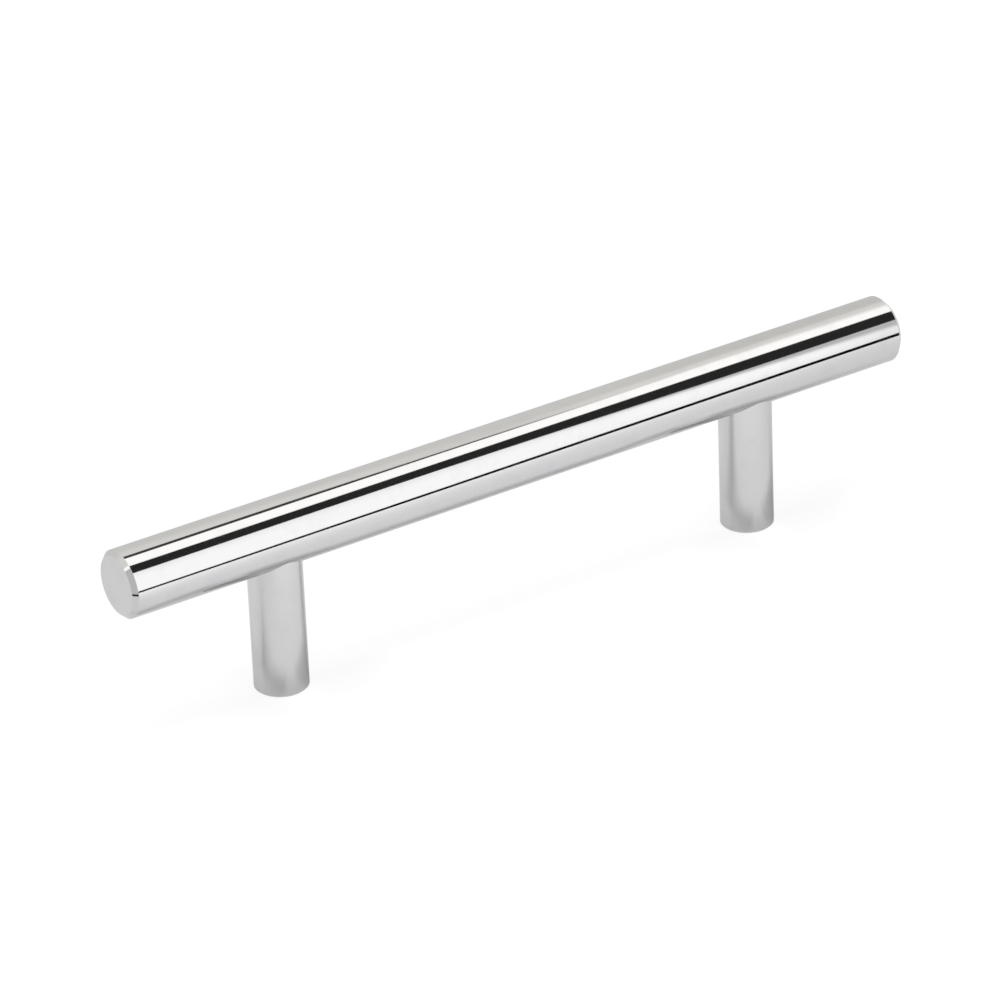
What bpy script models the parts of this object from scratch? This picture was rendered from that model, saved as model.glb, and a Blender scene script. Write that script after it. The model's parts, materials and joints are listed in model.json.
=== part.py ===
"""T bar cabinet pull: a round bar on two turned posts, polished and chromed.

The pull stands on the door's face, the plane Z = 0, with its bar along X and the door's
mounting holes at plus and minus half of HOLE_CENTRES. Each post's square upper end seats in
a flat-bottomed pocket in the bar's underside. A headless socket set screw, driven up through
the post's tapped bore into a blind hole in the bar, clamps the two together. The rest of that
bore is open at the foot, and takes the screw that comes through the door.
"""

import math

import bpy

MM = 0.001

# The bar
BAR_DIAMETER = 12.0 * MM
BAR_LENGTH = 156.0 * MM
BAR_END_CHAMFER = 0.8 * MM

# The pull on its door
HOLE_CENTRES = 96.0 * MM
PROJECTION = 35.0 * MM  # from the door to the far side of the bar

# The posts
POST_DIAMETER = 9.5 * MM
POST_EDGE_BREAK = 0.3 * MM

# The pockets in the bar's underside
POCKET_CLEARANCE = 0.3 * MM  # all round the post
POCKET_FULL_WALL = 0.24 * MM  # height of the pocket's wall where the bar's curve leaves least of it
SEAT_GAP = 0.3 * MM  # between the post's upper face and the pocket's floor

# The tapped holes, drawn plain at the thread's outer diameter
THREAD_DIAMETER = 4.0 * MM
THREAD_MOUTH_CHAMFER = 0.5 * MM
WALL_OVER_HOLE = 2.8 * MM  # metal left between the blind hole's tip and the top of the bar
DRILL_POINT_ANGLE = math.radians(118.0)

# The set screws, drawn plain and clear of the thread that holds them
SCREW_LENGTH = 12.0 * MM
SCREW_CLEARANCE = 0.3 * MM
SCREW_END_CHAMFER = 0.4 * MM
CUP_DIAMETER = 1.8 * MM
CUP_ANGLE = math.radians(118.0)
SOCKET_ACROSS_FLATS = 2.0 * MM
SOCKET_DEPTH = 2.5 * MM
SOCKET_CONE_ANGLE = math.radians(120.0)

# How finely the round pieces are faceted
BAR_FACETS = 128
POST_FACETS = 96
SCREW_FACETS = 48
HEXAGON = 6
SHARP_ANGLE = math.radians(25.0)
MERGE_DISTANCE = 0.001 * MM

# Worked out from the sizes above
BAR_RADIUS = BAR_DIAMETER / 2
POST_RADIUS = POST_DIAMETER / 2
POCKET_RADIUS = POST_RADIUS + POCKET_CLEARANCE
THREAD_RADIUS = THREAD_DIAMETER / 2
SCREW_RADIUS = THREAD_RADIUS - SCREW_CLEARANCE
SOCKET_CORNER_RADIUS = SOCKET_ACROSS_FLATS / math.sqrt(3)
BAR_UNDERSIDE = PROJECTION - BAR_DIAMETER
BAR_AXIS_HEIGHT = PROJECTION - BAR_RADIUS


def cone_height(radius, full_angle):
    """The height of a cone of this base radius whose tip spans full_angle."""
    return radius / math.tan(full_angle / 2)


def saddle_rise(radius):
    """How far above the bar's lowest line an upright hole of this radius has left the bar's curve."""
    reach = min(radius, BAR_RADIUS)
    return BAR_RADIUS - math.sqrt(BAR_RADIUS**2 - reach**2)


# Heights above the door, from the bar's top down
HOLE_TIP = PROJECTION - WALL_OVER_HOLE
HOLE_SHOULDER = HOLE_TIP - cone_height(THREAD_RADIUS, DRILL_POINT_ANGLE)
SCREW_POINT = HOLE_SHOULDER - SCREW_CLEARANCE
SCREW_DRIVE_END = SCREW_POINT - SCREW_LENGTH
POCKET_FLOOR = BAR_UNDERSIDE + saddle_rise(POCKET_RADIUS) + POCKET_FULL_WALL
POST_TOP = POCKET_FLOOR - SEAT_GAP

# How far a cutting tool starts outside the metal
TOOL_OVERRUN = 1.0 * MM


def clear_scene():
    """Empties the scene of whatever it opened with."""
    for thing in list(bpy.data.objects):
        bpy.data.objects.remove(thing, do_unlink=True)


def metal(name, colour, roughness):
    """A bare metal finish."""
    material = bpy.data.materials.new(name)
    material.use_nodes = True
    shader = material.node_tree.nodes["Principled BSDF"]
    shader.inputs["Base Color"].default_value = (*colour, 1.0)
    shader.inputs["Metallic"].default_value = 1.0
    shader.inputs["Roughness"].default_value = roughness
    return material


def turned(name, outline, facets, hollow=False):
    """A piece turned about Z from (radius, height) points that run down its outer side.

    The outline of a solid piece starts and ends on the axis. That of a hollow one goes on up
    its bore, and closes on its first point.
    """
    edges = [(point, point + 1) for point in range(len(outline) - 1)]
    if hollow:
        edges.append((len(outline) - 1, 0))
    profile = bpy.data.meshes.new(name)
    profile.from_pydata([(radius, 0.0, height) for radius, height in outline], edges, [])
    piece = bpy.data.objects.new(name, profile)
    bpy.context.scene.collection.objects.link(piece)
    lathe = piece.modifiers.new("lathe", "SCREW")
    lathe.axis = "Z"
    lathe.steps = facets
    lathe.render_steps = facets
    lathe.use_merge_vertices = True
    lathe.merge_threshold = MERGE_DISTANCE
    return piece


def cut_and_shade(piece, tools=()):
    """Takes the tools' shapes out of the piece, then smooths its round faces up to its edges."""
    for tool in tools:
        tool.hide_render = True
        tool.display_type = "WIRE"
        cut = piece.modifiers.new(tool.name, "BOOLEAN")
        cut.operation = "DIFFERENCE"
        cut.solver = "EXACT"
        cut.object = tool
    bpy.context.view_layer.update()
    graph = bpy.context.evaluated_depsgraph_get()
    finished = bpy.data.meshes.new_from_object(piece.evaluated_get(graph))
    finished.name = piece.name
    finished.shade_smooth()
    finished.set_sharp_from_angle(angle=SHARP_ANGLE)
    piece.modifiers.clear()
    piece.data = finished
    for tool in tools:
        bpy.data.objects.remove(tool, do_unlink=True)
    return piece


def finish_and_place(piece, material, assembly):
    """Gives the piece its metal and hangs it on the assembly."""
    if not piece.data.materials:
        piece.data.materials.append(material)
    piece.parent = assembly


def joint_tool(side):
    """What one pass of the pocket cutter, tap drill and chamfer tool takes out of the bar."""
    outline = [
        (0.0, HOLE_TIP),
        (THREAD_RADIUS, HOLE_SHOULDER),
        (THREAD_RADIUS, POCKET_FLOOR + THREAD_MOUTH_CHAMFER),
        (THREAD_RADIUS + THREAD_MOUTH_CHAMFER, POCKET_FLOOR),
        (POCKET_RADIUS, POCKET_FLOOR),
        (POCKET_RADIUS, BAR_UNDERSIDE - TOOL_OVERRUN),
        (0.0, BAR_UNDERSIDE - TOOL_OVERRUN),
    ]
    tool = turned("joint_tool", outline, POST_FACETS)
    tool.location.x = side * HOLE_CENTRES / 2
    return tool


def grip_bar():
    """The bar, chamfered at both ends, with a pocket and a blind hole for each post."""
    half = BAR_LENGTH / 2
    outline = [
        (0.0, half),
        (BAR_RADIUS - BAR_END_CHAMFER, half),
        (BAR_RADIUS, half - BAR_END_CHAMFER),
        (BAR_RADIUS, -half + BAR_END_CHAMFER),
        (BAR_RADIUS - BAR_END_CHAMFER, -half),
        (0.0, -half),
    ]
    bar = turned("grip_bar", outline, BAR_FACETS)
    bar.rotation_euler.y = math.pi / 2
    bar.location.z = BAR_AXIS_HEIGHT
    return cut_and_shade(bar, [joint_tool(-1), joint_tool(1)])


def post():
    """A post, tapped right through, with both of its ends faced square and their edges broken."""
    mouth_radius = THREAD_RADIUS + THREAD_MOUTH_CHAMFER
    outline = [
        (POST_RADIUS - POST_EDGE_BREAK, POST_TOP),
        (POST_RADIUS, POST_TOP - POST_EDGE_BREAK),
        (POST_RADIUS, POST_EDGE_BREAK),
        (POST_RADIUS - POST_EDGE_BREAK, 0.0),
        (mouth_radius, 0.0),
        (THREAD_RADIUS, THREAD_MOUTH_CHAMFER),
        (THREAD_RADIUS, POST_TOP - THREAD_MOUTH_CHAMFER),
        (mouth_radius, POST_TOP),
    ]
    return cut_and_shade(turned("post", outline, POST_FACETS, hollow=True))


def hex_key_tool():
    """The hexagonal socket that a key fits, with the drill's cone at its end."""
    socket_end = SCREW_DRIVE_END + SOCKET_DEPTH
    outline = [
        (0.0, socket_end + cone_height(SOCKET_CORNER_RADIUS, SOCKET_CONE_ANGLE)),
        (SOCKET_CORNER_RADIUS, socket_end),
        (SOCKET_CORNER_RADIUS, SCREW_DRIVE_END - TOOL_OVERRUN),
        (0.0, SCREW_DRIVE_END - TOOL_OVERRUN),
    ]
    return turned("hex_key_tool", outline, HEXAGON)


def set_screw():
    """A headless screw, its cup point up in the bar and its socket down towards the foot."""
    cup_radius = CUP_DIAMETER / 2
    outline = [
        (0.0, SCREW_POINT - cone_height(cup_radius, CUP_ANGLE)),
        (cup_radius, SCREW_POINT),
        (SCREW_RADIUS - SCREW_END_CHAMFER, SCREW_POINT),
        (SCREW_RADIUS, SCREW_POINT - SCREW_END_CHAMFER),
        (SCREW_RADIUS, SCREW_DRIVE_END + SCREW_END_CHAMFER),
        (SCREW_RADIUS - SCREW_END_CHAMFER, SCREW_DRIVE_END),
        (0.0, SCREW_DRIVE_END),
    ]
    return cut_and_shade(turned("set_screw", outline, SCREW_FACETS), [hex_key_tool()])


def pair(piece, material, assembly):
    """Stands the piece on the left mounting hole, and a copy that shares its mesh on the right."""
    copy = bpy.data.objects.new(piece.name + "_right", piece.data)
    bpy.context.scene.collection.objects.link(copy)
    piece.name += "_left"
    for side, one in ((-1, piece), (1, copy)):
        one.location.x = side * HOLE_CENTRES / 2
        finish_and_place(one, material, assembly)


def main():
    clear_scene()
    chrome = metal("polished_chrome", (0.6, 0.6, 0.605), 0.05)
    black_oxide = metal("black_oxide_steel", (0.06, 0.06, 0.065), 0.4)

    pull = bpy.data.objects.new("t_bar_pull", None)
    bpy.context.scene.collection.objects.link(pull)

    finish_and_place(grip_bar(), chrome, pull)
    pair(post(), chrome, pull)
    pair(set_screw(), black_oxide, pull)


main()
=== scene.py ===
"""Looks of the T bar cabinet pull: a polished and chromed bar on two turned and tapped posts."""

import json
import math

import bmesh
import bpy
from mathutils import Matrix, Vector

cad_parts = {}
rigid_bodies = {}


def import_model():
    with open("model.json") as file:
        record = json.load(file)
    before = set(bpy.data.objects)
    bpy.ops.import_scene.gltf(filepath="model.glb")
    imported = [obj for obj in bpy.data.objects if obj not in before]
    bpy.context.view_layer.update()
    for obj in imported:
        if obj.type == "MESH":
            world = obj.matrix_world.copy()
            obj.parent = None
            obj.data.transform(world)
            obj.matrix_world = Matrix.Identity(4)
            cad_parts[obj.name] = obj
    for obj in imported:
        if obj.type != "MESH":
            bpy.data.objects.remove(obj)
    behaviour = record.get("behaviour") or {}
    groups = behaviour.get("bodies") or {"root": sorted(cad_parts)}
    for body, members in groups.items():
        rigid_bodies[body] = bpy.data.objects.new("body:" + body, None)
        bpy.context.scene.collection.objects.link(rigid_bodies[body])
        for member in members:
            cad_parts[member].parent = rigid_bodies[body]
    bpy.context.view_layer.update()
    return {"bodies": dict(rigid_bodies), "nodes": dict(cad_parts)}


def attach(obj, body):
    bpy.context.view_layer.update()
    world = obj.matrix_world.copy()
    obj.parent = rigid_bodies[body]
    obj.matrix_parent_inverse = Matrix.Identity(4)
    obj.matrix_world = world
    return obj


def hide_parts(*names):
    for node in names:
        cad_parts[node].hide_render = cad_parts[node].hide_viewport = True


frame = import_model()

MM = 0.001
UP = Vector((0, 0, 1))
DOWN = Vector((0, 0, -1))
ALONG = Vector((1, 0, 0))

# The bar
BAR_RADIUS = 6.0 * MM
BAR_HALF = 78.0 * MM
BAR_END_CHAMFER = 0.8 * MM
BAR_FACETS = 192
END_HUB = 0.5 * MM  # where a flat end's first ring lies

# The pull on its door
POST_AT = 48.0 * MM
PROJECTION = 35.0 * MM
BAR_AXIS = PROJECTION - BAR_RADIUS

# The posts and the pockets that they seat in
POST_RADIUS = 4.75 * MM
POST_EDGE_BREAK = 0.3 * MM
POST_FACETS = 144
POCKET_FLOOR = 26.0 * MM
POCKET_SLIP = 0.03 * MM
POCKET_WALL_FOOT = 0.1 * MM
SEAT_SLIP = 0.01 * MM
POST_TOP = POCKET_FLOOR - SEAT_SLIP

# The part of the bar's skin that gives way to a pocket, and the rings that close in on its rim
WINDOW_HALF = 8.0 * MM
WINDOW_ROWS = 32
WINDOW_DEGREES = 75
CLOSING_IN = (0.25, 0.45, 0.62, 0.76, 0.87, 0.95, 1.0)

# The M4 thread
PITCH = 0.7 * MM
THREAD_OUTER = 2.0 * MM
THREAD_INNER = 1.621 * MM
THREAD_MOUTH = 2.5 * MM
THREAD_MOUTH_DEPTH = 0.5 * MM
THREAD_RUN_OUT = 0.3 * MM
HOLE_SHOULDER = 30.998 * MM
HOLE_TIP = 32.2 * MM
THREAD_PROFILE = (  # share of the pitch, and radius there
    (0.0, THREAD_OUTER),
    (0.125, THREAD_OUTER),
    (0.4375, THREAD_INNER),
    (0.6875, THREAD_INNER),
)

# The set screws
SCREW_POINT = 30.7 * MM
SCREW_DRIVE_END = 18.7 * MM
SCREW_SLACK = 0.03 * MM
SCREW_END_RADIUS = 1.3 * MM
SCREW_FACETS = 96
CUP_RADIUS = 0.9 * MM
CUP_DEPTH = 0.54 * MM
SOCKET_HALF = 1.0 * MM
SOCKET_DEPTH = 2.5 * MM
SOCKET_CONE = 0.6 * MM

# Edges as polishing leaves them
POLISHED_EDGE = 0.06 * MM
MACHINED_EDGE = 0.03 * MM
SHARP = math.radians(28)
SAME_PLACE = 0.001 * MM


class Turning:
    """A surface of rings of points round one line, which knows which way it faces at each point."""

    def __init__(self, name, origin, axis, start, turns):
        self.name = name
        self.origin = Vector(origin)
        self.axis = axis
        self.start = start
        self.side = axis.cross(start)
        self.turns = turns
        self.shape = bmesh.new()
        self.facing = {}
        self.first_ring = None

    def outward(self, turn):
        return self.start * math.cos(turn) + self.side * math.sin(turn)

    def at(self, radius, height, turn):
        return self.origin + self.axis * height + self.outward(turn) * radius

    def point(self, place, facing=None):
        vertex = self.shape.verts.new(place)
        if facing is not None:
            self.facing[vertex] = facing
        return vertex

    def ring(self, radius, height, lean=None):
        """One ring. Its lean is how far its surface is tipped from facing out to facing along."""
        made = []
        for turn in self.turns:
            way = None
            if lean is not None:
                way = self.outward(turn) * math.cos(lean) + self.axis * math.sin(lean)
            made.append(self.point(self.at(radius, height, turn), way))
        return made

    def band(self, one, other, skip=()):
        """The strip between two rings."""
        for here in range(len(one)):
            if here not in skip:
                after = (here + 1) % len(one)
                self.shape.faces.new((one[here], one[after], other[after], other[here]))

    def disc(self, ring, height, facing=None):
        """Closes a ring with a cone or a flat round its middle."""
        middle = self.point(self.origin + self.axis * height, facing)
        for here in range(len(ring)):
            self.shape.faces.new((ring[here], ring[(here + 1) % len(ring)], middle))

    def wall(self, outline, first=None):
        """Rings along an outline of (radius, height, lean), joined. Gives back the last ring."""
        before = first
        for radius, height, lean in outline:
            ring = self.ring(radius, height, lean)
            if before is not None:
                self.band(before, ring)
            else:
                self.first_ring = ring
            before = ring
        return before

    def thread(self, first, low, last, high, radius_at):
        """A helical M4 thread between two rings. All the threads here run in one phase."""
        rows = []
        for whole in range(int(low / PITCH) - 3, int(high / PITCH) + 3):
            for share, radius in THREAD_PROFILE:
                rows.append((whole + share, radius))
        per_turn = len(THREAD_PROFILE)
        made = {}

        def vertex(row, place):
            share, radius = rows[row]
            turn = self.turns[place]
            height = (share + turn / math.tau) * PITCH
            if height <= low + SAME_PLACE:
                return first[place]
            if height >= high - SAME_PLACE:
                return last[place]
            if (row, place) not in made:
                made[row, place] = self.point(self.at(radius_at(radius, height), height, turn))
            return made[row, place]

        count = len(self.turns)
        for row in range(len(rows) - per_turn - 1):
            for place in range(count):
                after = (place + 1) % count
                lift = per_turn if after == 0 else 0
                corners = [vertex(row, place), vertex(row + lift, after)]
                corners += [vertex(row + 1 + lift, after), vertex(row + 1, place)]
                corners = list(dict.fromkeys(corners))
                if len(corners) > 2:
                    self.shape.faces.new(corners)

    def finish(self, materials):
        """Makes the object, smooth up to its edges."""
        bmesh.ops.recalc_face_normals(self.shape, faces=self.shape.faces)
        if self.shape.calc_volume(signed=True) < 0:
            bmesh.ops.reverse_faces(self.shape, faces=self.shape.faces)
        self.shape.verts.index_update()
        ways = [(0.0, 0.0, 0.0)] * len(self.shape.verts)
        for vertex, way in self.facing.items():
            ways[vertex.index] = way.normalized()[:]
        mesh = bpy.data.meshes.new(self.name)
        self.shape.to_mesh(mesh)
        self.shape.free()
        mesh.shade_smooth()
        mesh.set_sharp_from_angle(angle=SHARP)
        mesh.normals_split_custom_set_from_vertices(ways)
        for material in materials:
            mesh.materials.append(material)
        piece = bpy.data.objects.new(self.name, mesh)
        bpy.context.scene.collection.objects.link(piece)
        return piece


def rounded(corners, edge, steps=4):
    """An outline of (radius, height, lean) along straight runs with their corners just rounded."""
    points = [Vector(corner) for corner in corners]
    runs = [(after - before).normalized() for before, after in zip(points, points[1:])]
    leans = [math.atan2(-run.x, run.y) for run in runs]
    outline = [(points[0].x, points[0].y, leans[0])]
    for corner, before, after, start, end in zip(points[1:], runs, runs[1:], leans, leans[1:]):
        bend = (end - start + math.pi) % math.tau - math.pi
        reach = edge * math.tan(abs(bend) / 2)
        out = Vector((math.cos(start), math.sin(start)))
        hub = corner - before * reach - out * edge * math.copysign(1, bend)
        for step in range(steps + 1):
            lean = start + bend * step / steps
            side = Vector((math.cos(lean), math.sin(lean))) * edge * math.copysign(1, bend)
            place = hub + side
            outline.append((place.x, place.y, lean))
    outline.append((points[-1].x, points[-1].y, leans[-1]))
    return outline


def evenly(facets):
    """That many turns round a full circle."""
    return [math.tau * facet / facets for facet in range(facets)]


def hole_limits(radius, height):
    """The thread's radius once both mouths of the post's bore are countersunk."""
    cone = max(THREAD_MOUTH - height, THREAD_MOUTH - (POST_TOP - height))
    return max(radius, cone)


def blind_hole_limits(radius, height):
    """The thread's radius in the bar, countersunk at its mouth and running out at its end."""
    radius = min(radius, THREAD_INNER + max(HOLE_SHOULDER - THREAD_RUN_OUT - height, 0))
    return max(radius, THREAD_MOUTH - (height - POCKET_FLOOR))


def screw_limits(radius, height):
    """The set screw's radius, a little inside its thread, with both ends chamfered."""
    room = min(SCREW_POINT - height, height - SCREW_DRIVE_END)
    return min(radius - SCREW_SLACK, SCREW_END_RADIUS + room)


def pocket(bar, rows, window, middle):
    """Opens a window of the bar's skin into a post's pocket, with its tapped blind hole."""
    low, high, reach = window
    count = len(bar.turns)
    edge = []
    for row in range(low, high):
        edge.append((row, -reach))
    for turn in range(-reach, reach):
        edge.append((high, turn))
    for row in range(high, low, -1):
        edge.append((row, reach))
    for turn in range(reach, -reach, -1):
        edge.append((low, turn))
    rim = []
    spots = []
    turns = []
    for row, turn in edge:
        spot = (rows[row][0], math.tau * turn / count)
        aim = math.atan2(math.sin(spot[1]) * BAR_RADIUS, spot[0] - middle)
        if turns and aim < turns[-1] - math.pi:
            aim += math.tau
        rim.append(rows[row][1][turn % count])
        spots.append(spot)
        turns.append(aim)

    def on_skin(plan_radius):
        ring = []
        for aim in turns:
            across = plan_radius * math.sin(aim)
            ring.append((middle + plan_radius * math.cos(aim), math.asin(across / BAR_RADIUS)))
        return ring

    wall_radius = POST_RADIUS + POCKET_SLIP
    target = on_skin(wall_radius + POLISHED_EDGE)
    before = rim
    for share in CLOSING_IN:
        ring = []
        for (x, turn), (to_x, to_turn) in zip(spots, target):
            place_turn = turn + (to_turn - turn) * share
            place = bar.at(BAR_RADIUS, x + (to_x - x) * share, place_turn)
            ring.append(bar.point(place, bar.outward(place_turn)))
        bar.band(before, ring)
        before = ring
    hole = Turning(bar.name, (middle, 0, 0), UP, ALONG, turns)
    hole.shape.free()
    hole.shape = bar.shape
    hole.facing = bar.facing
    ring = []
    for (x, turn), aim in zip(on_skin(wall_radius), turns):
        height = BAR_AXIS - BAR_RADIUS * math.cos(turn) + POLISHED_EDGE
        ring.append(hole.point(hole.at(wall_radius, height, aim), -hole.outward(aim)))
    hole.band(before, ring)
    thread_start = POCKET_FLOOR + THREAD_MOUTH_DEPTH
    corners = [(wall_radius, POCKET_FLOOR - POCKET_WALL_FOOT), (wall_radius, POCKET_FLOOR)]
    corners += [(THREAD_MOUTH, POCKET_FLOOR), (THREAD_OUTER, thread_start)]
    outline = rounded(corners, MACHINED_EDGE)
    mouth = hole.wall([(r, h, lean + math.pi) for r, h, lean in outline], first=ring)
    end = hole.ring(THREAD_INNER, HOLE_SHOULDER)
    hole.thread(mouth, thread_start, end, HOLE_SHOULDER, blind_hole_limits)
    hole.disc(end, HOLE_TIP)


def chromed_bar(materials):
    """The bar: chamfered ends, and two pockets for the posts in its underside."""
    bar = Turning("chromed_bar", (0, 0, BAR_AXIS), ALONG, DOWN, evenly(BAR_FACETS))
    half = BAR_HALF
    corners = [(END_HUB, -half), (BAR_RADIUS - BAR_END_CHAMFER, -half)]
    corners += [(BAR_RADIUS, -half + BAR_END_CHAMFER), (BAR_RADIUS, -half + 2 * BAR_END_CHAMFER)]
    left = rounded(corners, POLISHED_EDGE)
    outline = list(left)
    for middle in (-POST_AT, POST_AT):
        for row in range(WINDOW_ROWS + 1):
            x = middle - WINDOW_HALF + 2 * WINDOW_HALF * row / WINDOW_ROWS
            outline.append((BAR_RADIUS, x, 0.0))
    outline += [(radius, -x, -lean) for radius, x, lean in reversed(left)]
    rows = [(x, bar.ring(radius, x, lean)) for radius, x, lean in outline]
    reach = BAR_FACETS * WINDOW_DEGREES // 360
    hidden = {turn % BAR_FACETS for turn in range(-reach, reach)}
    windows = []
    for start in (len(left), len(left) + WINDOW_ROWS + 1):
        windows.append((start, start + WINDOW_ROWS, reach))
    for row in range(len(rows) - 1):
        inside = any(low <= row < high for low, high, _ in windows)
        bar.band(rows[row][1], rows[row + 1][1], skip=hidden if inside else ())
    bar.disc(rows[0][1], -half, -ALONG)
    bar.disc(rows[-1][1], half, ALONG)
    for window, middle in zip(windows, (-POST_AT, POST_AT)):
        pocket(bar, rows, window, middle)
    return bar.finish(materials)


def chromed_post(side, x, materials):
    """A post with a countersunk M4 thread right through it."""
    post = Turning("chromed_post_" + side, (x, 0, 0), UP, ALONG, evenly(POST_FACETS))
    low = THREAD_MOUTH_DEPTH
    high = POST_TOP - THREAD_MOUTH_DEPTH
    corners = [(THREAD_OUTER, low), (THREAD_MOUTH, 0), (POST_RADIUS - POST_EDGE_BREAK, 0)]
    corners += [(POST_RADIUS, POST_EDGE_BREAK), (POST_RADIUS, POST_TOP - POST_EDGE_BREAK)]
    corners += [(POST_RADIUS - POST_EDGE_BREAK, POST_TOP), (THREAD_MOUTH, POST_TOP)]
    corners += [(THREAD_OUTER, high)]
    last = post.wall(rounded(corners, POLISHED_EDGE))
    post.thread(post.first_ring, low, last, high, hole_limits)
    return post.finish(materials)


def threaded_set_screw(side, x, materials):
    """A headless M4 screw: a cup point above, a hexagonal socket below."""
    screw = Turning("threaded_set_screw_" + side, (x, 0, 0), UP, ALONG, evenly(SCREW_FACETS))
    drive = screw.ring(SCREW_END_RADIUS, SCREW_DRIVE_END)
    point = screw.ring(SCREW_END_RADIUS, SCREW_POINT)
    screw.thread(drive, SCREW_DRIVE_END, point, SCREW_POINT, screw_limits)
    cup = screw.ring(CUP_RADIUS, SCREW_POINT)
    screw.band(point, cup)
    screw.disc(cup, SCREW_POINT - CUP_DEPTH)
    before = drive
    for height in (SCREW_DRIVE_END, SCREW_DRIVE_END + SOCKET_DEPTH):
        ring = []
        for turn in screw.turns:
            flat = (turn + math.pi / 6) % (math.pi / 3) - math.pi / 6
            ring.append(screw.point(screw.at(SOCKET_HALF / math.cos(flat), height, turn)))
        screw.band(before, ring)
        before = ring
    screw.disc(before, SCREW_DRIVE_END + SOCKET_DEPTH + SOCKET_CONE)
    return screw.finish(materials)


class Tone:
    """A number that changes over a surface, and takes part in sums."""

    def __init__(self, paint, socket):
        self.paint = paint
        self.socket = socket

    def __add__(self, other):
        return self.paint.sum("ADD", self, other)

    def __sub__(self, other):
        return self.paint.sum("SUBTRACT", self, other)

    def __rsub__(self, other):
        return self.paint.sum("SUBTRACT", other, self)

    def __mul__(self, other):
        return self.paint.sum("MULTIPLY", self, other)

    __radd__ = __add__
    __rmul__ = __mul__


class Paint:
    """The node tree of one material, or of the world."""

    def __init__(self, owner):
        owner.use_nodes = True
        self.owner = owner
        self.tree = owner.node_tree
        self.tree.nodes.clear()

    def node(self, kind, settings=None, sockets=None, gives=0):
        """Adds a node, sets it, fills its sockets, and gives back one of its outputs."""
        made = self.tree.nodes.new(kind)
        for name, value in (settings or {}).items():
            setattr(made, name, value)
        for name, value in (sockets or {}).items():
            if isinstance(value, Tone):
                self.tree.links.new(value.socket, made.inputs[name])
            else:
                made.inputs[name].default_value = value
        if not made.outputs:
            return None
        return Tone(self, made.outputs[gives])

    def sum(self, operation, one, other):
        return self.node("ShaderNodeMath", {"operation": operation}, {0: one, 1: other})

    def step(self, value, low, high):
        """Rises smoothly from 0 to 1 as the value goes from low to high."""
        sockets = {"Value": value, "From Min": low, "From Max": high}
        return self.node("ShaderNodeMapRange", {"interpolation_type": "SMOOTHSTEP"}, sockets)

    def ramp(self, value, low, high):
        """Rises evenly from 0 to 1 as the value goes from low to high."""
        sockets = {"Value": value, "From Min": low, "From Max": high}
        return self.node("ShaderNodeMapRange", {"interpolation_type": "LINEAR"}, sockets)

    def between(self, share, one, other):
        """A colour between two colours."""
        settings = {"data_type": "RGBA", "clamp_factor": True}
        return self.node("ShaderNodeMix", settings, {0: share, 6: one, 7: other}, gives=2)

    def place(self):
        """Where a point is on the pull, in metres."""
        return self.node("ShaderNodeTexCoord", gives="Object")

    def parts(self, vector):
        """The three numbers of a vector."""
        made = self.tree.nodes.new("ShaderNodeSeparateXYZ")
        self.tree.links.new(vector.socket, made.inputs[0])
        return [Tone(self, output) for output in made.outputs]

    def stretched(self, vector, x, y, z):
        """The same place measured on a stretched grid."""
        settings = {"operation": "MULTIPLY"}
        return self.node("ShaderNodeVectorMath", settings, {0: vector, 1: (x, y, z)})

    def distance(self, vector, spot):
        """How far a place is from a fixed spot."""
        settings = {"operation": "DISTANCE"}
        return self.node("ShaderNodeVectorMath", settings, {0: vector, 1: spot}, gives="Value")

    def cloud(self, vector, scale, detail=2.0, roughness=0.5):
        """Soft random blotches, from 0 to 1."""
        sockets = {"Vector": vector, "Scale": scale, "Detail": detail, "Roughness": roughness}
        return self.node("ShaderNodeTexNoise", None, sockets)

    def scaled(self, colour, level):
        """A colour made brighter or darker by a level that changes from place to place."""
        sockets = {0: colour if isinstance(colour, Tone) else colour[:3], 3: level}
        return self.node("ShaderNodeVectorMath", {"operation": "SCALE"}, sockets)

    def surface(self, shader):
        kind = "World" if isinstance(self.owner, bpy.types.World) else "Material"
        self.node("ShaderNodeOutput" + kind, None, {"Surface": shader})


CHROME = (0.6, 0.6, 0.605, 1)
CHROME_DEEP = (0.575, 0.575, 0.585, 1)
CHROME_AT_A_GLANCE = (0.87, 0.87, 0.87, 1)
BLACK_OXIDE = (0.045, 0.045, 0.05, 1)
BLACK_OXIDE_WORN = (0.11, 0.105, 0.1, 1)

# How fine the markings are, in blotches or lines per metre
WAVES = 140
SMUDGES = 260
GRAIN = 9000
BELT_MARKS = 5200
ALONG_THE_MARKS = 70
WORN_BLOTCHES = 900
THREAD_CUTS = 26000


def polished_chrome(name, lines):
    """Chrome over polished steel. Lines is the grid on which the belt's faint marks run."""
    paint = Paint(bpy.data.materials.new(name))
    place = paint.place()
    waves = paint.cloud(place, WAVES, detail=1.0)
    marks = paint.cloud(paint.stretched(place, *lines), 1.0, detail=3.0, roughness=0.6)
    smudges = paint.cloud(place, SMUDGES, detail=4.0, roughness=0.6)
    grain = paint.cloud(place, GRAIN, detail=1.0)
    height = waves * 1.0 + marks * 0.02 + grain * 0.004
    bump = {"Strength": 1.0, "Distance": 0.004 * MM, "Height": height}
    sockets = {
        "Base Color": paint.between(paint.step(smudges, 0.45, 0.75), CHROME, CHROME_DEEP),
        "Metallic": 1.0,
        "Roughness": 0.05 + marks * 0.02 + paint.step(smudges, 0.4, 0.8) * 0.03,
        "Specular Tint": CHROME_AT_A_GLANCE,
        "Normal": paint.node("ShaderNodeBump", None, bump),
    }
    paint.surface(paint.node("ShaderNodeBsdfPrincipled", None, sockets))
    return paint.owner


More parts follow.
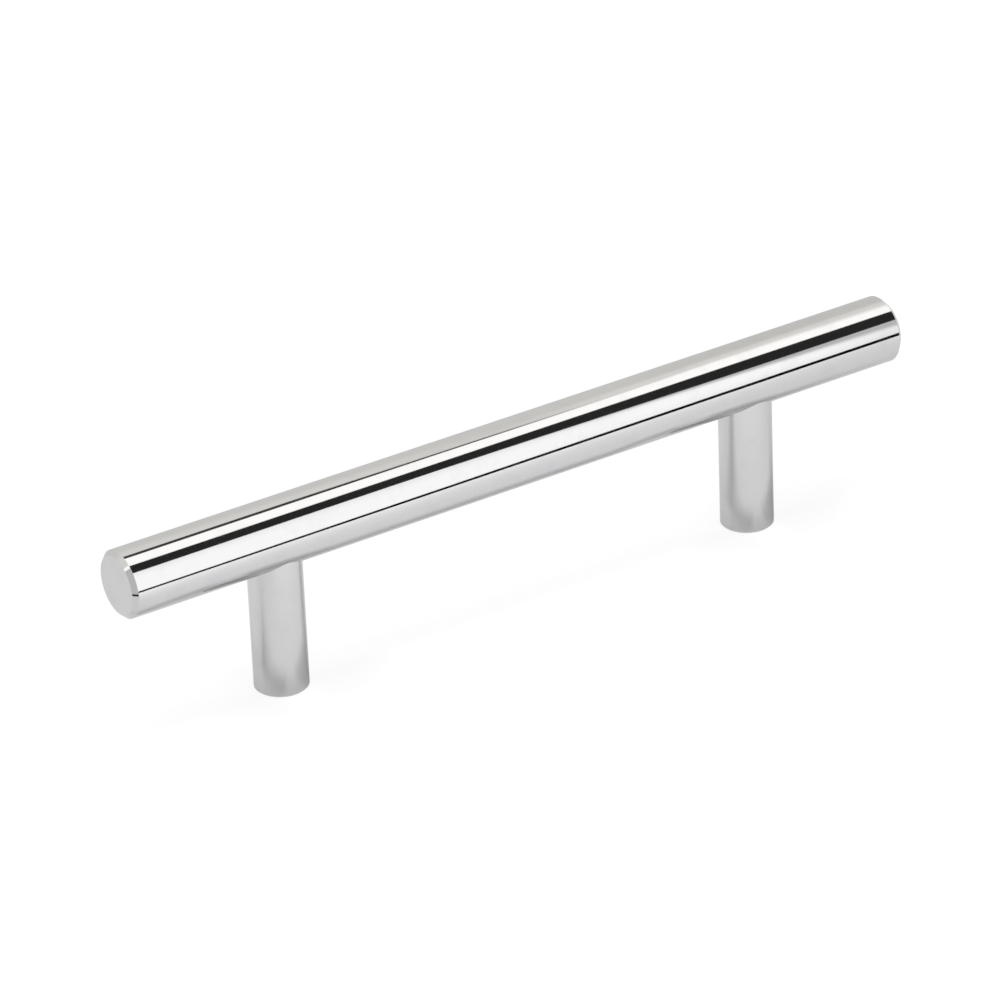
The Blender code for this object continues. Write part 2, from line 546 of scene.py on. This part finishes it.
def black_oxide(name):
    """Hardened steel, blackened: a thin dark skin, rubbed a little lighter in places."""
    paint = Paint(bpy.data.materials.new(name))
    place = paint.place()
    blotches = paint.cloud(place, WORN_BLOTCHES, detail=5.0, roughness=0.6)
    grain = paint.cloud(place, GRAIN, detail=3.0, roughness=0.65)
    lines = paint.stretched(place, WORN_BLOTCHES, WORN_BLOTCHES, THREAD_CUTS)
    cut = paint.cloud(lines, 1.0, detail=2.0)
    worn = paint.step(blotches + grain * 0.25, 0.62, 0.85)
    bump = {"Strength": 0.6, "Distance": 0.01 * MM, "Height": cut + grain * 0.5}
    sockets = {
        "Base Color": paint.between(worn, BLACK_OXIDE, BLACK_OXIDE_WORN),
        "Metallic": 1.0,
        "Roughness": 0.42 + grain * 0.14 - worn * 0.08,
        "Normal": paint.node("ShaderNodeBump", None, bump),
    }
    paint.surface(paint.node("ShaderNodeBsdfPrincipled", None, sockets))
    return paint.owner


# The studio's shapes, with angles in degrees round the bar: 0 is level in front, 90 is up
TENT_RADIUS = 500 * MM
TENT_HALF = 2.0
TENT_START = 42
TENT_SPAN = 141
TENT_STEPS = 70
FOLD_AT = -0.1
FOLDED_CARD_Y = -0.04
CARD_Y = -0.138
CARD_SLANT = 0.165
CARD_FOOT = 4 * MM
CARD_TOPS = (  # x and height
    (-1.5, 0.2),
    (-0.11, 0.2),
    (-0.03, 0.205),
    (0.029, 0.2115),
    (0.054, 0.2212),
    (0.091, 0.2329),
    (0.115, 0.2386),
    (0.134, 0.2285),
    (0.1505, 0.2155),
    (0.173, 0.199),
    (0.1935, 0.196),
    (0.229, 0.2015),
    (1.5, 0.2015),
)
RAIL_NEARNESS = 0.925
RAIL_TOPS = (
    (-1.5, 0.0073),
    (-0.11, 0.0073),
    (-0.03, 0.0121),
    (-0.013, 0.0133),
    (0.057, 0.0187),
    (0.087, 0.0213),
    (0.181, 0.0273),
    (1.5, 0.032),
)
TABLE_EDGE = 6.0
TABLE_LEVEL = -0.02 * MM

# Its colours and how brightly each thing shines, where 1 is the white of the background
WHITE = (1, 1, 1, 1)
SOFTBOX_WHITE = (1.01, 1.0, 0.975, 1)
WARM_GREY = (1.012, 1.0, 0.958, 1)
# The table's colour darkens from front to back: painted shade behind the pull, over its pale,
# faintly warm tone.
TABLE_FRONT = (0.93, 0.915, 0.92, 1)
TABLE_BACK_SHADED = (0.865, 0.855, 0.858, 1)
SOFTBOX = 1.61
FRONT_CARD = 1.55
SHEET = 0.91
GREY_CARD = 0.75
BLACK_CARD = 0.03
BLACK_RAIL = 0.005
ROOM_LIGHT = 0.36
TABLE_GLOW = 1.08


def staged(name, points, faces, material, camera=False, lights=False):
    """Something that belongs to the studio. A card shows in the chrome and isn't seen itself."""
    mesh = bpy.data.meshes.new(name)
    mesh.from_pydata(points, [], faces)
    mesh.materials.append(material)
    thing = bpy.data.objects.new(name, mesh)
    bpy.context.scene.collection.objects.link(thing)
    thing.visible_camera = camera
    thing.visible_shadow = camera
    thing.visible_diffuse = lights
    return thing


def glow(paint, colour, level):
    """Makes the material shine in a colour, at a level that changes from place to place."""
    shine = {"Color": paint.scaled(colour, level), "Strength": 1.0}
    paint.surface(paint.node("ShaderNodeEmission", None, shine))


def light_tent():
    """An arch over the pull: a softbox above, a black card before it, a warm grey sheet behind.

    What shines at each place goes by the angle round the bar and by x, in metres along it. The
    edges between the softbox and its neighbours slant and bend as in the photograph.
    """
    paint = Paint(bpy.data.materials.new("light_tent"))
    x, y, z = paint.parts(paint.place())
    around = {0: y, 1: z - BAR_AXIS}
    angle = paint.node("ShaderNodeMath", {"operation": "ARCTAN2"}, around) * math.degrees(1) + 90
    left_end = 1 - paint.step(x, -0.7, -0.3)
    left = 1 - paint.step(x, 0.22, 0.27)
    right = paint.step(x, 0.268, 0.378)

    sheet = SHEET - paint.step(x, 0.29, 0.35) * 0.065
    sheet = sheet + left * (1 - paint.step(angle, 124, 156)) * 0.13
    sheet = sheet + paint.step(x, 0.24, 0.33) * (1 - paint.step(angle, 118, 136)) * 0.22
    sheet_edge = 118.3 - paint.ramp(x, 0.197, 0.30) * 11.3
    gap = (1 - paint.step(angle, sheet_edge - 1.2, sheet_edge + 1.2)) * (1 - left_end)
    gap = gap * (1 - paint.step(x, 0.25, 0.30))
    sheet = sheet * (1 - gap * 0.94)

    front_edge = 79.0 - x * 6.0 + left_end * 3.0
    card = BLACK_CARD + left_end * (GREY_CARD - BLACK_CARD)
    level = card + paint.step(angle, front_edge - 0.8, front_edge + 0.8) * (SOFTBOX - card)
    rear_edge = 108.0 - paint.step(x, 0.23, 0.30) * 3.2 + paint.step(x, 0.30, 0.325) * 2.8
    rear_edge = rear_edge - paint.step(x, 0.335, 0.378) * 3.0 - left_end * 8.0
    soft = 0.8 + right * 9.0
    behind = paint.step(angle, rear_edge - soft, rear_edge + soft)
    level = level * (1 - behind) + behind * sheet
    glow(paint, paint.between(behind, SOFTBOX_WHITE, WARM_GREY), level)
    paint.owner.cycles.emission_sampling = "NONE"

    points = []
    faces = []
    for step in range(TENT_STEPS + 1):
        turn = math.radians(TENT_START + TENT_SPAN * step / TENT_STEPS)
        for end in (-TENT_HALF, TENT_HALF):
            there = (-TENT_RADIUS * math.cos(turn), BAR_AXIS + TENT_RADIUS * math.sin(turn))
            points.append((end, *there))
        if step:
            corner = 2 * step
            faces.append((corner - 2, corner - 1, corner + 1, corner))
    return staged("light_tent", points, faces, paint.owner)


def front_y(x):
    """How far in front the card stands. Beyond the bar's left end it's folded in."""
    if x < FOLD_AT:
        return FOLDED_CARD_Y
    return CARD_Y - CARD_SLANT * (x + 0.011)


def upright(name, tops, foot, material, nearness=1.0, lights=False):
    """A card that stands along the front, with the given heights along its top."""
    points = []
    for x, top in tops:
        y = front_y(x) * nearness
        points += [(x, y, foot), (x, y, top)]
    faces = [(2 * n, 2 * n + 2, 2 * n + 3, 2 * n + 1) for n in range(len(tops) - 1)]
    return staged(name, points, faces, material, lights=lights)


def front_card():
    """The white card that stands close in front, with a grey sheet beyond each of its ends."""
    paint = Paint(bpy.data.materials.new("front_card"))
    x, _, z = paint.parts(paint.place())
    slanting_edge = 0.1816 - (x - 0.1447) * 1.33
    grey = paint.step(z, slanting_edge - 0.045, slanting_edge + 0.035)
    grey = paint.step(x, 0.11, 0.175) * grey
    grey = 1 - (1 - grey) * paint.step(x, FOLD_AT, -0.06)
    white = FRONT_CARD - paint.step(x, 0.155, 0.205) * 0.34
    white = white * (1 - paint.step(z, 0.1, 0.24) * 0.12)
    white = white * (1 - paint.step(x, 0.06, 0.16) * (1 - paint.step(z, 0.03, 0.09)) * 0.1)
    glow(paint, WHITE, white + grey * (GREY_CARD - white))
    return upright("front_card", CARD_TOPS, CARD_FOOT, paint.owner, lights=True)


def front_rail():
    """The card's black foot rail, a thin dark line in the bar."""
    paint = Paint(bpy.data.materials.new("front_rail"))
    glow(paint, WHITE, BLACK_RAIL)
    return upright("front_rail", RAIL_TOPS, 0.0, paint.owner, nearness=RAIL_NEARNESS)


def table():
    """A white table top that keeps the pull's shadow. It can be looked through from below.

    The camera sees white nearly all over. The chrome sees the table's colour with painted shade:
    darker towards the back, and a painted shadow in front of each foot.
    Mixed into it is a painted white glow, stronger behind the pull, behind its left end, under its
    feet and beside them.
    """
    paint = Paint(bpy.data.materials.new("white_table"))
    rays = paint.tree.nodes.new("ShaderNodeLightPath").outputs
    camera = Tone(paint, rays["Is Camera Ray"])
    gloss = Tone(paint, rays["Is Glossy Ray"]) + Tone(paint, rays["Is Transmission Ray"])
    place = paint.place()
    x, y, _ = paint.parts(place)
    # Painted shade: the table's colour darkens from the front of the pull to the back.
    colour = paint.between(paint.step(y, -30 * MM, 40 * MM), TABLE_FRONT, TABLE_BACK_SHADED)
    # Painted shadow: the bar's shade as a dark strip on the table just in front of it, close round
    # each foot, lighter straight ahead of the foot.
    bar_shadow_strip = paint.step(y, -18 * MM, -8 * MM) * (1 - paint.step(y, -2 * MM, 2 * MM))
    # Painted light: the chrome sees the table glow whiter behind the pull, left of the left post.
    painted_light_share = (1 - paint.step(x, -66 * MM, -57 * MM)) * paint.step(y, 0, 5 * MM) * 0.45
    for foot in (-POST_AT, POST_AT):
        ahead = paint.step(x, foot - 4 * MM, foot - MM)
        ahead = ahead * (1 - paint.step(x, foot + 2 * MM, foot + 6 * MM))
        around = paint.distance(place, (foot + 3 * MM, -2 * MM, 0))
        shade = bar_shadow_strip * (1 - paint.step(around, 9 * MM, 21 * MM)) * (1 - ahead * 0.6)
        colour = paint.scaled(colour, 1 - shade * 0.3)
        under = paint.distance(place, (foot, 0, 0))
        # Painted light: the table glows white to the chrome right under each foot, and in a soft
        # spot behind it and to its left.
        painted_light_share = 0.7 - paint.step(under, 4.6 * MM, 4.75 * MM) * 0.7 + painted_light_share
        beside = paint.distance(place, (foot - 5 * MM, 4 * MM, 0))
        painted_light_share = painted_light_share + 0.45 - paint.step(beside, 5 * MM, 12 * MM) * 0.45
    top = paint.node("ShaderNodeBsdfDiffuse", None, {"Color": colour})
    shine = {"Color": paint.scaled(WHITE, 1.0 + camera * (TABLE_GLOW - 1.0)), "Strength": 1.0}
    white = paint.node("ShaderNodeEmission", None, shine)
    from_middle = paint.distance(place, (0, 0, 0))
    # Painted light: the chrome sees the table glow white behind the pull, from 4 mm back, weaker
    # beyond 55 mm.
    behind = 0.95 - paint.step(y, 55 * MM, 90 * MM) * 0.75
    behind = paint.step(y, 4 * MM, 36 * MM) * behind
    for_camera = 0.8 + paint.step(from_middle, 130 * MM, 220 * MM) * 0.2
    share = camera * for_camera + gloss * (0.1 + behind + painted_light_share)
    lit = paint.node("ShaderNodeMixShader", None, {0: share, 1: top, 2: white})
    below = paint.node("ShaderNodeNewGeometry", gives="Backfacing") * camera
    clear = paint.node("ShaderNodeBsdfTransparent")
    paint.surface(paint.node("ShaderNodeMixShader", None, {0: below, 1: lit, 2: clear}))
    corners = [(-1, -1), (1, -1), (1, 1), (-1, 1)]
    points = [(TABLE_EDGE * side, TABLE_EDGE * end, TABLE_LEVEL) for side, end in corners]
    return staged("white_table", points, [(0, 1, 2, 3)], paint.owner, camera=True, lights=True)


def lamp(name, size, energy, place, tilt):
    """A lamp, in metres and watts, that lights the table and doesn't show in the chrome."""
    data = bpy.data.lights.new(name, "AREA")
    data.shape = "RECTANGLE"
    data.size, data.size_y = size
    data.energy = energy
    made = bpy.data.objects.new(name, data)
    bpy.context.scene.collection.objects.link(made)
    made.location = place
    made.rotation_euler.x = tilt
    made.visible_camera = False
    made.visible_glossy = False


def white_surroundings():
    """White all round for whatever looks at it, and a softer light than that on the table."""
    world = bpy.data.worlds.new("white_surroundings")
    bpy.context.scene.world = world
    paint = Paint(world)
    rays = paint.tree.nodes.new("ShaderNodeLightPath").outputs
    seen = Tone(paint, rays["Is Camera Ray"]) + Tone(paint, rays["Is Glossy Ray"])
    seen = seen + Tone(paint, rays["Is Transmission Ray"])
    colour = paint.scaled(WHITE, ROOM_LIGHT + seen * (1 - ROOM_LIGHT))
    paint.surface(paint.node("ShaderNodeBackground", None, {"Color": colour, "Strength": 1.0}))


# The camera, as the photograph was taken
CAMERA_YAW = math.radians(-32.035)
CAMERA_PITCH = math.radians(28.159)
CAMERA_ROLL = math.radians(2.362)
CAMERA_DISTANCE = 1045.52 * MM
CAMERA_OFFSET = (2.605 * MM, -0.227 * MM)  # to the right and down, beside its aim
SENSOR_WIDTH = 36
CAMERA_LENS = 6118.265 / 1000 * SENSOR_WIDTH
AIM_HEIGHT = 20 * MM


def add_camera():
    yaw = CAMERA_YAW
    pitch = CAMERA_PITCH
    ahead = Vector((-math.sin(yaw) * math.cos(pitch), math.cos(yaw) * math.cos(pitch), 0))
    ahead.z = -math.sin(pitch)
    level = Vector((math.cos(yaw), math.sin(yaw), 0))
    down = ahead.cross(level)
    right = level * math.cos(CAMERA_ROLL) + down * math.sin(CAMERA_ROLL)
    down = down * math.cos(CAMERA_ROLL) - level * math.sin(CAMERA_ROLL)
    place = UP * AIM_HEIGHT - ahead * CAMERA_DISTANCE
    place -= right * CAMERA_OFFSET[0] + down * CAMERA_OFFSET[1]
    data = bpy.data.cameras.new("camera")
    data.lens = CAMERA_LENS
    data.sensor_width = SENSOR_WIDTH
    data.clip_start = 0.01
    data.clip_end = 100
    camera = bpy.data.objects.new("camera", data)
    bpy.context.scene.collection.objects.link(camera)
    turned = Matrix((right, -down, -ahead)).transposed().to_4x4()
    camera.matrix_world = Matrix.Translation(place) @ turned
    bpy.context.scene.camera = camera


def clear_strangers():
    """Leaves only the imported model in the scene."""
    kept = set(frame["nodes"].values()) | set(frame["bodies"].values())
    for thing in list(bpy.data.objects):
        if thing not in kept:
            bpy.data.objects.remove(thing, do_unlink=True)


def stand_in(piece, node):
    """Puts a finished piece in the place of its plain node."""
    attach(piece, "root")
    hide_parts(node)


def main():
    bpy.context.scene.view_settings.view_transform = "Standard"
    clear_strangers()
    add_camera()
    lines_round_bar = (BELT_MARKS, ALONG_THE_MARKS, ALONG_THE_MARKS)
    lines_round_post = (ALONG_THE_MARKS, ALONG_THE_MARKS, BELT_MARKS)
    bar_chrome = polished_chrome("bar_chrome", lines_round_bar)
    post_chrome = polished_chrome("post_chrome", lines_round_post)
    oxide = black_oxide("black_oxide_steel_skin")
    stand_in(chromed_bar([bar_chrome]), "grip_bar")
    for side, x in (("left", -POST_AT), ("right", POST_AT)):
        stand_in(chromed_post(side, x, [post_chrome]), "post_" + side)
        screw = threaded_set_screw(side, x, [oxide])
        stand_in(screw, "set_screw_" + side)
    white_surroundings()
    lamp("overhead_lamp", (2.0, 0.92), 20.0, (0, -0.08, 2.0), math.atan(0.04))
    lamp("front_lamp", (0.7, 0.03), 0.15, (-0.25, -0.15, 0.09), 0.0)
    table()
    light_tent()
    front_card()
    front_rail()


main()
